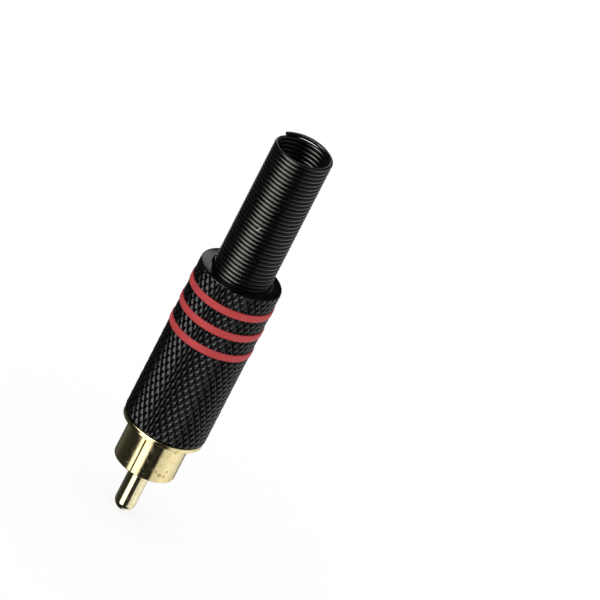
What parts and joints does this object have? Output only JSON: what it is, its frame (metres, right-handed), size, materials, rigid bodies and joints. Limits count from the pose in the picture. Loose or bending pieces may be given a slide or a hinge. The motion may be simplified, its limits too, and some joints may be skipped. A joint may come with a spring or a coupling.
{
  "type": "rca connector",
  "caption": "Solder-type phono plug with a slotted gold collar and pin, a black knurled screw-on barrel with red rings, and a coil strain relief.",
  "frame": {"origin": "on the plug's axis, at the front rim of the ground collar, where the pin passes out of it", "axes": "+Z along the plug's axis from the pin towards the cable tail; the pin points along -Z into the socket; the pictured side faces -Y"},
  "size_m": [0.0126, 0.0126, 0.0629],
  "materials": {
    "gold": "polished gold plate on brass",
    "phenolic": "satin brown phenolic",
    "black_barrel": "satin black anodised, diamond knurl",
    "red_ring": "matte red",
    "black_wire": "semi-gloss black oxide wire"
  },
  "bodies": {
    "front": {"plug_body": "gold", "insulator": "phenolic", "centre_pin": "gold", "ground_clamp": "gold"},
    "tail": {"strain_relief": "black_wire"},
    "shell": {"barrel": "black_barrel", "colour_ring_1": "red_ring", "colour_ring_2": "red_ring", "colour_ring_3": "red_ring"}
  },
  "joints": [
    {"name": "tail_slide", "type": "slide", "parent": "front", "child": "tail", "axis": [0, 0, 1], "range_m": [0, 0.00325]},
    {"name": "barrel_turn", "type": "hinge", "parent": "tail", "child": "shell", "pos_m": [0, 0, 0.02], "axis": [0, 0, 1], "range_deg": [0, 1170]}
  ],
  "couplings": [
    {"joint": "tail_slide", "follows": "barrel_turn", "m_per_rad": 0.00015915}
  ]
}
